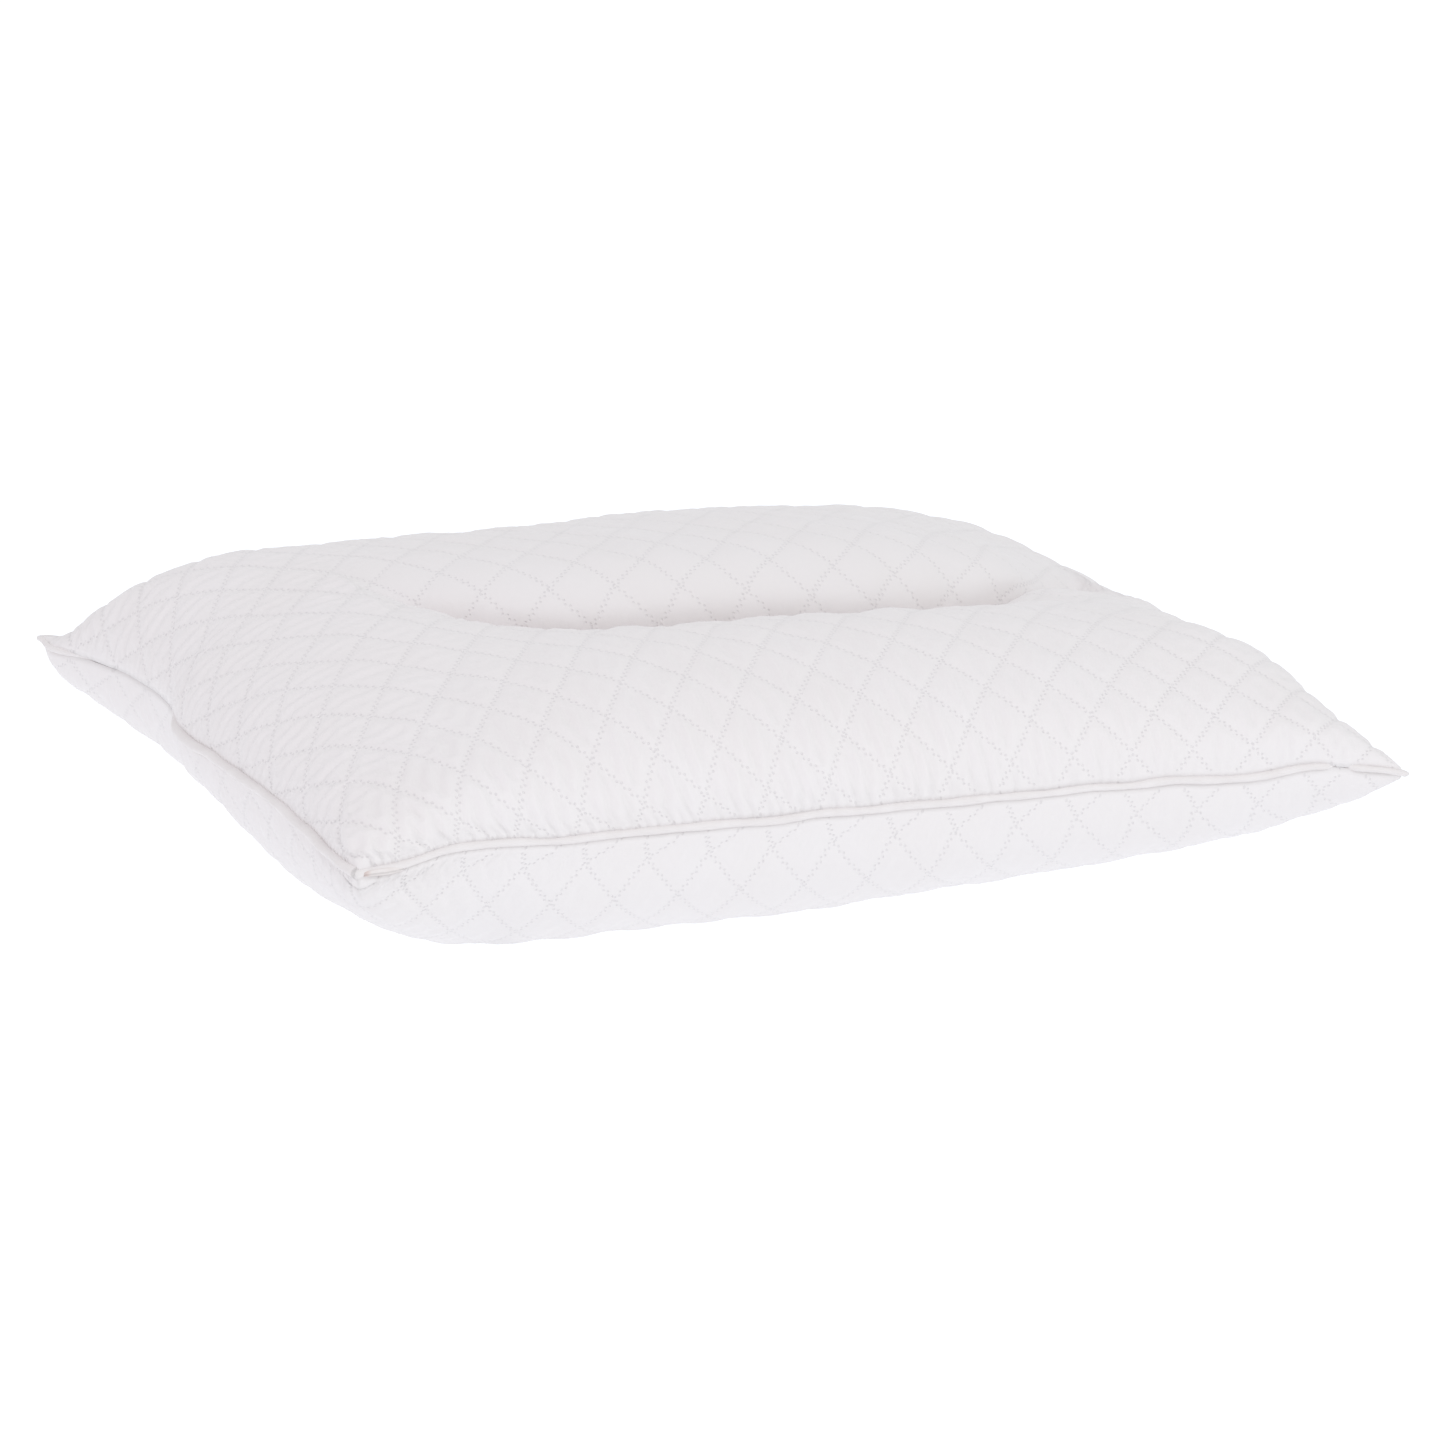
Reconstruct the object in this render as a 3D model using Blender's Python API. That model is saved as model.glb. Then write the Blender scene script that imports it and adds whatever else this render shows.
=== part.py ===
"""Anatomical bed pillow with a half-moon crease, built up from its sewn and filled pieces.

Frame: metres, +Z up, X along the long sides, -Y at the neck side, +Y at the head side.
The pillow lies on z = 0 and its seam box is centred on the origin.
"""

import math

import bpy
import numpy as np

# Driving dimensions
WIDTH = 0.581  # seam corner to seam corner along X
DEPTH = 0.479  # seam corner to seam corner along Y
SEAM_Z = 0.064  # height of the perimeter seam above the bed
CROWN_TOP = 0.077  # rise of the top panel above the seam
TOP_FULLNESS = (3.4, 3.0)  # along X and along Y
TOP_EDGE = 0.50
HEAD_RISE = 0.06  # the head side stands this share higher than the middle, the neck side lower
CROWN_BOTTOM = 0.080  # drop of the bottom panel below the seam, before the bed flattens it
BOTTOM_FULLNESS = (4.0, 4.0)
BOTTOM_EDGE = 0.45
PULL_X = 0.014  # how far the short sides pull in between their corners
PULL_Y = 0.012  # how far the long sides pull in between their corners
PULL_POWER = 5.0  # higher keeps the pull even and the corners short

# Crease: a smile-shaped line that a sewn-in divider holds down
CREASE_HALF = 0.185  # half length along X
CREASE_Y = -0.016  # place of the flat middle of the line
CREASE_RISE = 0.090  # how far the two ends turn towards the head side
CREASE_POWER = 3.2
CREASE_DEPTH = 0.042
CREASE_SPREAD = 0.030  # distance at which the valley has faded to 1/e
VALLEY_POWER = 1.3  # 1 is a sharp fold, 2 a round trough
CREASE_FADE = (4, 0.7)  # powers that keep the crease deep until near its ends
FOOT_GROOVE = 0.0025  # groove that the divider's foot seam draws into the underside
FOOT_SPREAD = 0.009

# Cloth stack: face fabric, wadding and backing are welded to each other in the lattice
FACE_T = 0.0008
WADDING_T = 0.0030
BACKING_T = 0.0006
GAP = 0.0004  # clearance between touching solids
FILL_INSET = 0.0110  # fill to the seam line, leaving room for the seam allowance
FILL_GAP = 0.0025  # loose fibre to the backing
RAMP = 0.0120  # rise above the seam at which the cloth stack has its full thickness
THINNEST_FILL = 0.001  # the fill never closes up at its rim

# Piping: a tape folded round a thin cord, its flange sewn between the panels
BEAD_R = 0.0020
BEAD_BORE_R = 0.0013
PIPE_CORD_R = 0.0009
FLANGE_T = 0.0006
FLANGE_W = 0.0057
RING_POINTS = 9  # points round the folded tape, from one side of the slit to the other
BORE_PAST = 0.001  # the bore is cut this far past the tape's ends
PIPE_END_GAP = 0.0060  # each tape end stops this far from the near left corner
TAB_OVER = 0.12  # share of that distance by which the end tab stops short of each tape end
TAB_WIDTH = 0.0042
TAB_T = 0.0048

# The seam allowance between the two panels
SEAM_LIFT = FLANGE_T / 2 + GAP

# Threads and divider
THREAD_R = 0.0004
THREAD_INSET = 0.0066  # the seam runs along the inner edge of the tape's flange
CLOSING_HALF = 0.090  # half length of the filling gap in the head-side seam
DIVIDER_T = 0.0010
HEM_T = 0.0018
HEM_H = 0.0080
DIVIDER_REACH = 0.93  # share of the crease line that the divider spans

COLUMNS = 20  # grid cells along X
EDGE_ROWS = (0.0, 0.022, 0.085, 0.19, 0.36, 0.56)  # rows from a long side towards the crease
VALLEY_ROWS = (0.050, 0.026, 0.010)  # rows beside the crease, as distances along Y
VALLEY_SHARE = 0.36  # the widest of them takes at most this share of the way to the side
INSET_POWER = 16  # keeps the columns near the crease where they are in every layer


# Shape of the pillow


def column_shares():
    """Grid lines along X as -1..1, closer together near the short sides."""
    t = np.linspace(-1.0, 1.0, COLUMNS + 1)
    return np.sin(0.5 * math.pi * t)


def crease_y(x):
    """Plan line of the crease; past its ends it runs straight out to the short sides."""
    t = np.clip(np.abs(x) / CREASE_HALF, 0.0, 1.0)
    return CREASE_Y + CREASE_RISE * t**CREASE_POWER


def crease_strength(x):
    """1 in the middle of the crease, fading to 0 at its two ends."""
    t = np.clip(np.abs(x) / CREASE_HALF, 0.0, 1.0)
    return (1.0 - t ** CREASE_FADE[0]) ** CREASE_FADE[1]


def crease_distance(x, y):
    """Plan distance from the crease line, allowing for the line's own slope."""
    step = 1e-4
    slope = (crease_y(x + step) - crease_y(x - step)) / (2.0 * step)
    return np.abs(y - crease_y(x)) / np.sqrt(1.0 + slope**2)


def plan_x(u, v, inset):
    """X of a grid column; only columns near the short sides move in with the inset."""
    half = WIDTH / 2 - PULL_X * (1.0 - np.abs(v) ** PULL_POWER)
    return u * half - inset * np.sign(u) * u**INSET_POWER


def half_depth(u, inset):
    return DEPTH / 2 - inset - PULL_Y * (1.0 - np.abs(u) ** PULL_POWER)


def crown(u, v, fullness, edge):
    """0 on the seam, 1 in the middle; a higher fullness carries the middle further out."""
    return ((1.0 - np.abs(u) ** fullness[0]) * (1.0 - np.abs(v) ** fullness[1])) ** edge


def grid(inset, split=None, reach=0.0):
    """Plan grid as (u, v, x, y). split keeps the 'neck' or 'head' rows, reach off the crease."""
    us = column_shares()
    centre_x = plan_x(us, 0.0, inset)
    line = np.stack([centre_x, crease_y(centre_x)], axis=1)
    mitre = mitres(line, closed=False)
    rows = []
    for side in (-1.0, 1.0):
        part = []
        for i, u in enumerate(us):
            point = line[i] + side * reach * mitre[i]
            edge_y = side * half_depth(u, inset)
            stops = [edge_y + (point[1] - edge_y) * f for f in EDGE_ROWS]
            room = VALLEY_SHARE * abs(point[1] - edge_y)
            squeeze = min(1.0, room / VALLEY_ROWS[0])
            near = [point[1] + side * squeeze * d for d in VALLEY_ROWS]
            column = []
            for y in stops + near + [point[1]]:
                v = y / half_depth(u, inset)
                share = (y - edge_y) / (point[1] - edge_y)
                x = plan_x(u, v, inset) + share * (point[0] - plan_x(u, v, inset))
                column.append((u, v, x, y))
            part.append(column)
        part = np.array(part).transpose(1, 0, 2)
        rows.append(part if side < 0 else part[::-1])
    neck, head = rows
    if split == "neck":
        return neck
    if split == "head":
        return head
    return np.concatenate([neck, head[1:]])


def top_height(cells, inset, lift):
    """Height of a top layer: 'inset' below the outer face, but 'lift' above the seam at its rim."""
    u, v, x, y = np.moveaxis(cells, -1, 0)
    rise = CROWN_TOP * crown(u, v, TOP_FULLNESS, TOP_EDGE) * (1.0 + HEAD_RISE * v)
    valley = CREASE_DEPTH * crease_strength(x)
    rise = rise - valley * np.exp(-((crease_distance(x, y) / CREASE_SPREAD) ** VALLEY_POWER))
    full = np.minimum(1.0, rise / RAMP)
    return SEAM_Z + rise + lift * (1.0 - full) - inset * full


def bottom_height(cells, inset, lift):
    """Height of a bottom layer: flat on the bed, grooved where the divider is sewn down."""
    u, v, x, y = np.moveaxis(cells, -1, 0)
    z = np.maximum(SEAM_Z - CROWN_BOTTOM * crown(u, v, BOTTOM_FULLNESS, BOTTOM_EDGE), 0.0)
    groove = FOOT_GROOVE * crease_strength(x)
    z = z + groove * np.exp(-((crease_distance(x, y) / FOOT_SPREAD) ** 2)) * (z == 0.0)
    drop = SEAM_Z - z
    full = np.minimum(1.0, drop / RAMP)
    return z - lift * (1.0 - full) + inset * full


# Mesh building


def mitres(points, closed):
    """Plan vectors m so that points + d * m is the line moved d to its left, with true corners."""
    count = len(points)
    out = np.zeros((count, 2))
    for i in range(count):
        before = points[i] - points[i - 1] if closed or i > 0 else points[1] - points[0]
        last = points[(i + 1) % count] - points[i] if closed or i < count - 1 else before
        a = before / np.linalg.norm(before)
        b = last / np.linalg.norm(last)
        normal_a = np.array([-a[1], a[0]])
        normal_b = np.array([-b[1], b[0]])
        middle = normal_a + normal_b
        out[i] = middle / max(middle @ normal_a, 1e-6)
    return out


def skin_points(cells, height):
    return np.concatenate([cells[..., 2:4], height[..., None]], axis=-1)


def closed_from_grids(upper, lower):
    """Vertices and faces of the solid between two grids of the same shape.

    Each cell is cut along the diagonal that points at its own corner of the pillow, in every
    layer alike, so that nested skins keep their clearance.
    """
    rows, columns = upper.shape[:2]
    verts = np.concatenate([upper.reshape(-1, 3), lower.reshape(-1, 3)])
    base = rows * columns

    def at(layer, r, c):
        return layer * base + r * columns + c

    faces = []
    for r in range(rows - 1):
        for c in range(columns - 1):
            (x0, y0), (x1, y1) = upper[r, c, :2], upper[r + 1, c + 1, :2]
            outward = x0 * y0 + x1 * y1 > 0
            for layer, turn in ((0, 1), (1, -1)):
                a, b = at(layer, r, c), at(layer, r, c + 1)
                d, e = at(layer, r + 1, c), at(layer, r + 1, c + 1)
                halves = [(a, b, e), (a, e, d)] if outward else [(a, b, d), (b, e, d)]
                faces += [half[::turn] for half in halves]
    ring = [(0, c) for c in range(columns - 1)]
    ring += [(r, columns - 1) for r in range(rows - 1)]
    ring += [(rows - 1, c) for c in range(columns - 1, 0, -1)]
    ring += [(r, 0) for r in range(rows - 1, 0, -1)]
    for (r0, c0), (r1, c1) in zip(ring, ring[1:] + ring[:1]):
        faces.append((at(0, r1, c1), at(0, r0, c0), at(1, r0, c0), at(1, r1, c1)))
    return verts, faces


def swept(points, heights, profile, closed):
    """A plan line swept with a profile of (left offset, height) pairs, listed anticlockwise."""
    mitre = mitres(points, closed)
    count, sides = len(points), len(profile)
    verts = []
    for point, m, z in zip(points, mitre, heights):
        for left, up in profile:
            verts.append((point[0] + left * m[0], point[1] + left * m[1], z + up))
    faces = []
    for i in range(count if closed else count - 1):
        j = (i + 1) % count
        for k in range(sides):
            n = (k + 1) % sides
            faces.append((i * sides + k, i * sides + n, j * sides + n, j * sides + k))
    if not closed:
        faces.append(tuple(range(sides))[::-1])
        faces.append(tuple((count - 1) * sides + k for k in range(sides)))
    return verts, faces


def circle(radius, sides, left=0.0, up=0.0):
    turn = [2 * math.pi * k / sides for k in range(sides)]
    return [(left + radius * math.cos(a), up + radius * math.sin(a)) for a in turn]


def material(name, colour, roughness):
    mat = bpy.data.materials.new(name)
    mat.use_nodes = True
    shader = mat.node_tree.nodes["Principled BSDF"]
    shader.inputs["Base Color"].default_value = (*colour, 1.0)
    shader.inputs["Roughness"].default_value = roughness
    shader.inputs["Metallic"].default_value = 0.0
    return mat


def add_node(name, shape, colour, roughness=0.8, smooth_below=math.radians(50)):
    verts, faces = shape
    mesh = bpy.data.meshes.new(name)
    mesh.from_pydata([tuple(map(float, v)) for v in verts], [], faces)
    mesh.validate()
    mesh.shade_smooth()
    mesh.set_sharp_from_angle(angle=smooth_below)
    mesh.materials.append(material(name, colour, roughness))
    node = bpy.data.objects.new(name, mesh)
    bpy.context.scene.collection.objects.link(node)
    return node


# The panels, one shell per layer


def layer(side, start, thickness):
    """One shell of the cloth stack, from 'start' inside the outer face, open at the seam."""
    height = top_height if side > 0 else bottom_height
    outer_cells, inner_cells = grid(start), grid(start + thickness)
    outer = skin_points(outer_cells, height(outer_cells, start, SEAM_LIFT))
    inner = skin_points(inner_cells, height(inner_cells, start + thickness, SEAM_LIFT))
    return closed_from_grids(outer, inner) if side > 0 else closed_from_grids(inner, outer)


def build_panels():
    white, fleece, scrim = (0.86, 0.84, 0.86), (0.90, 0.90, 0.89), (0.80, 0.81, 0.82)
    wadding_start = FACE_T + GAP
    backing_start = wadding_start + WADDING_T + GAP
    for name, side in (("top", 1), ("bottom", -1)):
        add_node(name + "_face_fabric", layer(side, 0.0, FACE_T), white, 0.62)
        add_node(name + "_wadding", layer(side, wadding_start, WADDING_T), fleece, 0.95)
        add_node(name + "_backing", layer(side, backing_start, BACKING_T), scrim, 0.85)


def stack_depth():
    return FACE_T + WADDING_T + BACKING_T + 3 * GAP


# The fill, in two chambers either side of the divider


def fill(split):
    reach = HEM_T / 2 + GAP
    cells = grid(FILL_INSET, split, reach)
    depth = stack_depth() + FILL_GAP
    upper = skin_points(cells, top_height(cells, depth, GAP))
    lower = skin_points(cells, bottom_height(cells, depth, GAP))
    upper[..., 2] = np.maximum(upper[..., 2], lower[..., 2] + THINNEST_FILL)
    return closed_from_grids(upper, lower)


def build_fill():
    fibre = (0.92, 0.92, 0.91)
    add_node("neck_fill", fill("neck"), fibre, 1.0)
    add_node("head_fill", fill("head"), fibre, 1.0)


# The divider and the two seams that hold it


def crease_path():
    """The grid's own points along the crease line, where the divider is."""
    cells = grid(0.0, "neck")[-1]
    keep = np.abs(cells[:, 2]) <= CREASE_HALF * DIVIDER_REACH
    return cells[keep]


def build_divider():
    cells = crease_path()
    points = cells[:, 2:4]
    depth = stack_depth()
    top = top_height(cells, depth, SEAM_LIFT) - GAP
    foot = bottom_height(cells, depth, SEAM_LIFT) + GAP
    mitre = mitres(points, closed=False)
    web, hem = DIVIDER_T / 2, HEM_T / 2
    verts, faces = [], []
    for (x, y), m, high, low in zip(points, mitre, top, foot):
        right = [(-hem, low), (-hem, low + HEM_H), (-web, low + HEM_H), (-web, high - HEM_H)]
        right += [(-hem, high - HEM_H), (-hem, high)]
        ring = right + [(-left, z) for left, z in right[::-1]]
        verts += [(x + left * m[0], y + left * m[1], z) for left, z in ring]
    sides = len(ring)
    for i in range(len(points) - 1):
        for k in range(sides):
            n = (k + 1) % sides
            faces.append((i * sides + k, i * sides + n, (i + 1) * sides + n, (i + 1) * sides + k)[::-1])
    faces.append(tuple(range(sides)))
    faces.append(tuple((len(points) - 1) * sides + k for k in range(sides))[::-1])
    add_node("crease_divider", (verts, faces), (0.83, 0.83, 0.84), 0.9)

    thread = (0.88, 0.86, 0.84)
    away = GAP + THREAD_R
    profile = circle(THREAD_R, 6)
    over = top_height(cells, 0.0, SEAM_LIFT) + away
    under = bottom_height(cells, 0.0, SEAM_LIFT) - away
    add_node("crease_seam_thread", swept(points, over, profile, False), thread, 0.5)
    add_node("foot_seam_thread", swept(points, under, profile, False), thread, 0.5)


# The perimeter: piping and seam threads


def outline(inset):
    """Anticlockwise plan outline from the near left corner, without repeating it.

    The points next to each corner are left out, so that offset lines don't cross there.
    """
    shares = column_shares()
    us = np.concatenate([shares[:1], shares[2:-2]])
    front = [(plan_x(u, 1.0, inset), -half_depth(u, inset)) for u in us]
    right = [(plan_x(1.0, v, inset), v * half_depth(1.0, inset)) for v in us]
    back = [(-x, -y) for x, y in front]
    left = [(-x, -y) for x, y in right]
    return np.array(front + right + back + left)


def unit(vector):
    return vector / np.linalg.norm(vector)


def opened(points, short):
    """The closed outline as an open line whose ends stop 'short' of its first corner."""
    keep = [p for p in points[1:] if np.linalg.norm(p - points[0]) > 2.0 * short]
    start = points[0] + unit(keep[0] - points[0]) * short
    end = points[0] + unit(keep[-1] - points[0]) * short
    return np.array([start] + keep + [end])


def lengthened(line, extra):
    """The same open line with both ends carried straight on by 'extra'."""
    out = line.copy()
    out[0] += unit(line[0] - line[1]) * extra
    out[-1] += unit(line[-1] - line[-2]) * extra
    return out


def tape_profile():
    """Keyhole section: a ring round the cord, its slit widening into the sewn flange.

    Left is inwards on an anticlockwise outline, so the flange runs to positive offsets.
    """
    half_t = FLANGE_T / 2
    centre = -(BEAD_R + GAP)
    open_angle = math.asin(half_t / BEAD_R)
    turns = np.linspace(open_angle, 2 * math.pi - open_angle, RING_POINTS)
    outer = [(centre + BEAD_R * math.cos(a), BEAD_R * math.sin(a)) for a in turns]
    return outer + [(FLANGE_W, -half_t), (FLANGE_W, half_t)]


def build_piping():
    """The tape is a keyhole ring with the cord lying in its bore; both stop at the near corner."""
    corners = outline(0.0)
    line = opened(corners, PIPE_END_GAP)
    heights = np.full(len(line), SEAM_Z)
    tape = add_node("piping_tape", swept(line, heights, tape_profile(), False), (0.84, 0.80, 0.76), 0.55)
    bore = circle(BEAD_BORE_R, 6, left=-(BEAD_R + GAP))
    over = lengthened(line, BORE_PAST)
    bored = swept(over, np.full(len(over), SEAM_Z), bore, False)
    cutter = add_node("piping_bore_cutter", bored, (1, 1, 1))
    cutter.hide_render = True
    cutter.display_type = "WIRE"
    cut = tape.modifiers.new("bore", "BOOLEAN")
    cut.operation = "DIFFERENCE"
    cut.object = cutter
    cut.solver = "EXACT"
    cord = circle(PIPE_CORD_R, 6, left=-(BEAD_R + GAP))
    add_node("piping_cord", swept(line, heights, cord, False), (0.90, 0.89, 0.87), 0.9)

    tab_line = np.array([line[-1], corners[0], line[0]])
    tab_line[0] += (corners[0] - line[-1]) * TAB_OVER
    tab_line[2] += (corners[0] - line[0]) * TAB_OVER
    out, near, half = -(GAP + TAB_WIDTH), -GAP, TAB_T / 2
    tab = [(out, -half), (near, -half), (near, half), (out, half)]
    add_node("piping_end_tab", swept(tab_line, np.full(3, SEAM_Z), tab, False), (0.83, 0.79, 0.75), 0.55)


def build_seam_threads():
    """Lockstitch round the whole seam, with its own short run closing the filling gap."""
    thread = (0.88, 0.86, 0.84)
    profile = circle(THREAD_R, 5)
    edge = outline(0.0)
    loop = edge + THREAD_INSET * mitres(edge, closed=True)
    head_side = loop[:, 1] > DEPTH / 2 - PULL_Y - 2 * THREAD_INSET
    in_gap = np.flatnonzero(head_side & (np.abs(loop[:, 0]) < CLOSING_HALF))
    run = np.concatenate([loop[in_gap[-1] + 1 :], loop[: in_gap[0]]])
    edge_y = half_depth(0.0, THREAD_INSET)
    end = CLOSING_HALF + 2 * THREAD_R
    run = np.concatenate([[[-end, edge_y]], run, [[end, edge_y]]])
    add_node("perimeter_seam_thread", swept(run, np.full(len(run), SEAM_Z), profile, False), thread, 0.5)
    closing = np.array([[CLOSING_HALF, edge_y], [0.0, edge_y], [-CLOSING_HALF, edge_y]])
    add_node("closing_seam_thread", swept(closing, np.full(3, SEAM_Z), profile, False), thread, 0.5)


def main():
    for old in list(bpy.data.objects):
        bpy.data.objects.remove(old)
    build_panels()
    build_fill()
    build_divider()
    build_piping()
    build_seam_threads()


main()
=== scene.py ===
"""The looks of the anatomical bed pillow: quilted panels relaxed as cloth, piping, light and camera."""

import math

import bpy
import numpy as np
from mathutils import Matrix, Vector


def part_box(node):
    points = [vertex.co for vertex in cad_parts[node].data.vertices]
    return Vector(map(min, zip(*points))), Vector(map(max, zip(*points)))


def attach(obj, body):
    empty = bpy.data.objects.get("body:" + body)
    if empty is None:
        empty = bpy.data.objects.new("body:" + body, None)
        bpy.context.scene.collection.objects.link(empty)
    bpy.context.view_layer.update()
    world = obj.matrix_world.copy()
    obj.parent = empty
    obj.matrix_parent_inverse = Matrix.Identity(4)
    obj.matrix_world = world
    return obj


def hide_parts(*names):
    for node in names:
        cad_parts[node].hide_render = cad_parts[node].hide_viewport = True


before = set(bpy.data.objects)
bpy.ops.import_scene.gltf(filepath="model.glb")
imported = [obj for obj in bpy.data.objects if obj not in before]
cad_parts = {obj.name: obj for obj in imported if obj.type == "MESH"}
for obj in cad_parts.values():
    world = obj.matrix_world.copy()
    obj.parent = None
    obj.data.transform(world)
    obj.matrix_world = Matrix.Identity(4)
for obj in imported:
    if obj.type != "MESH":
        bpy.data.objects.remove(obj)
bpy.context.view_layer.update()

# Sizes from the frame, in metres
TOP_HIGH = np.array(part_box("top_face_fabric")[1])
PIPE_LOW, PIPE_HIGH = (np.array(corner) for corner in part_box("piping_tape"))
HALF_W, HALF_D = TOP_HIGH[0], TOP_HIGH[1]  # half sides between the seam corners
SEAM_Z = (PIPE_LOW[2] + PIPE_HIGH[2]) / 2
CROWN = TOP_HIGH[2] - SEAM_Z

# Plan of the seam
PULL_X, PULL_Y = 0.017, 0.013  # how far the sides pull in between their corners
EAR_POWER = 5.0  # higher keeps the corners short
NEAR_LEFT, FAR_LEFT, NEAR_RIGHT, FAR_RIGHT = (-1, -1), (-1, 1), (1, -1), (1, 1)  # corners, as (u, v)
CORNERS = {  # each corner: (tucked in, rounded off, raised)
    NEAR_LEFT: (-0.001, 0.0030, 0.0015),
    FAR_LEFT: (-0.010, 0.0050, 0.004),
    NEAR_RIGHT: (-0.004, 0.0000, 0.003),
    FAR_RIGHT: (0.002, 0.0030, 0.001),
}
TUCK_REACH, ROUND_REACH, EAR_REACH = 0.22, 0.05, 0.11  # as shares of the half sides
LEFT_KINK, LEFT_BULGE = 0.27, 0.013  # nearer than this v, the left side stands out by this much
KINK_REACH, OPEN_REACH = 0.05, 0.04  # how gradually that starts, and how gradually the piping opens there
CLOSED_LEFT, CLOSED_LEFT_REACH = 0.55, 0.30  # v of the left side's stretch where the panels hide the piping
CLOSED_NEAR, CLOSED_NEAR_REACH = 0.885, 0.02  # u of the same on the neck's side

# Crease
CREASE_LEFT, CREASE_RIGHT = 0.185, 0.245  # reach of the line to each side of the middle
RISE_LEFT, RISE_RIGHT = 0.078, 0.072  # how far each end turns towards the head side
CREASE_Y = -0.016
CREASE_BEND = 3.2  # higher keeps the line straight for longer
CREASE_DEPTH = 0.050
NECK_SPREAD, HEAD_SPREAD = 0.049, 0.019  # how wide the valley is on each side
OVERHANG, OVERHANG_REACH = 0.012, 0.018  # how far the head cushion leans over the valley, and where most

# Seam and panels
SEAM_HALF = 0.0008  # each panel's edge is this far above or below the seam line
SEAM_LIFT, SEAM_DROOP = 0.002, 0.006  # how far the seam's sides rise, and its corners droop from there
SEAM_WANDERS = [(0.0008, 0.09, 3), (0.0004, 0.025, 4)]  # (height, length, seed)
SWELL, SWELL_REACH = 0.0011, 0.011  # how far the panels bulge out over the piping, most this far in from it
BOTTOM_DROP = 0.082  # more than the seam's height, so that the middle lies flat on the bed
TOP_FULL_X, TOP_FULL_NECK, TOP_FULL_HEAD, BOTTOM_FULL = 3.4, 4.0, 3.0, 4.0  # higher is boxier
TOP_EDGE, BOTTOM_EDGE = 0.5, 0.45  # lower rises more steeply from the seam
TOP_EDGE_NEAR, BOTTOM_EDGE_NEAR = -0.10, -0.07  # what the near left corner adds to that
TOP_EDGE_FAR = 0.45  # and the far left one
TOP_TILT, TOP_SHARE = 0.06, 0.99  # the head cushion is a little higher than the neck roll
FOOT_GROOVE, FOOT_SPREAD = 0.0025, 0.008  # where the divider draws the bottom panel up
UNEVEN, UNEVEN_SIZE = 0.0016, 0.12  # height and width of the filling's small unevenness

# Where the filling is uneven, and the seam with it: (u, v, reach, rise)
TOP_LUMPS = [
    (0.70, 0.03, 0.10, 0.012),
    (-0.90, 0.78, 0.24, 0.024),
    (0.85, 0.5, 0.33, -0.016),
    (0.94, -0.67, 0.21, 0.023),
    (-1, 1, 0.12, -0.007),
    (0.50, -0.10, 0.3, -0.007),
    (0.92, 0.12, 0.16, -0.010),
]
BOTTOM_LUMPS = [
    (-0.9, -0.9, 0.4, -0.010),
    (0.7, -0.9, 0.6, 0.014),
    (-0.95, 0.12, 0.14, 0.016),
    (-0.95, -0.35, 0.22, -0.011),
]
SEAM_LUMPS = [(-0.77, -1, 0.14, 0.006), (0.87, -1, 0.1, 0.007), (0, -1, 0.6, 0.0015)]


# Smooth, repeatable unevenness


def waves(x, y, size, seed, count=14):
    """Soft noise of about -1..1 whose lumps are 'size' metres across."""
    rng = np.random.default_rng(seed)
    total = np.zeros(np.broadcast(x, y).shape)
    for turn, phase, stretch in rng.random((count, 3)):
        k = (0.6 + 0.8 * stretch) * math.pi / size
        a = 2 * math.pi * turn
        total += np.cos(k * (x * math.cos(a) + y * math.sin(a)) + 2 * math.pi * phase)
    return total / math.sqrt(count)


def bump(x, centre, width):
    return np.exp(-(((x - centre) / width) ** 2))


# The filled shape that the cloth lies on, over u and v from -1 to 1


def crease_reach(x):
    """0 in the middle of the crease, 1 at its ends."""
    return np.clip(np.where(x < 0, -x / CREASE_LEFT, x / CREASE_RIGHT), 0.0, 1.0)


def crease_y(x):
    rise = np.where(x < 0, RISE_LEFT, RISE_RIGHT)
    return CREASE_Y + rise * crease_reach(x) ** CREASE_BEND


def crease_slope(x):
    step = 1e-4
    return (crease_y(x + step) - crease_y(x - step)) / (2 * step)


def crease_strength(x):
    """1 along the middle of the crease, running out slowly at its left end and fast at its right one."""
    reach = crease_reach(x)
    return np.where(x < 0, 1 - reach**2.6, (1 - reach**4) ** 0.7)


def crease_side(x, y):
    """Plan distance from the crease line: negative on the neck side, positive on the head side."""
    return (y - crease_y(x)) / np.sqrt(1 + crease_slope(x) ** 2)


def valley(side):
    """1 on the crease line, fading to each side as two round flanks that meet in a slit."""
    r = np.abs(side) / np.where(side < 0, NECK_SPREAD, HEAD_SPREAD)
    return np.exp(-(r**0.6) - 0.35 * r**2.2)


def lean(x, side):
    """Plan shift of the head cushion's flank towards the neck roll."""
    r = side.clip(0) / OVERHANG_REACH
    shift = OVERHANG * (1 - crease_reach(x) ** 3) * (r * np.exp(1 - r)) ** 2
    slope = crease_slope(x)
    length = np.sqrt(1 + slope**2)
    return shift * slope / length, -shift / length


def near_corner(u, v, corner, reach):
    """1 at a corner, fading with distance from it."""
    return bump(u, corner[0], reach) * bump(v, corner[1], reach)


def before_kink(v, reach):
    """1 towards the near end of the left side, 0 past its kink."""
    return 1 / (1 + np.exp((v - LEFT_KINK) / reach))


def left_bulge(u, v):
    """1 on the near part of the left side, 0 past its kink and at the near corner."""
    return before_kink(v, KINK_REACH) * (1 - np.abs(v).clip(0, 1) ** 6) * (u < 0) * np.abs(u) ** 6


def lumps(u, v, places):
    """The summed height of the lumps listed, at (u, v)."""
    return sum(rise * bump(u, at_u, reach) * bump(v, at_v, reach) for at_u, at_v, reach, rise in places)


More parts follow.
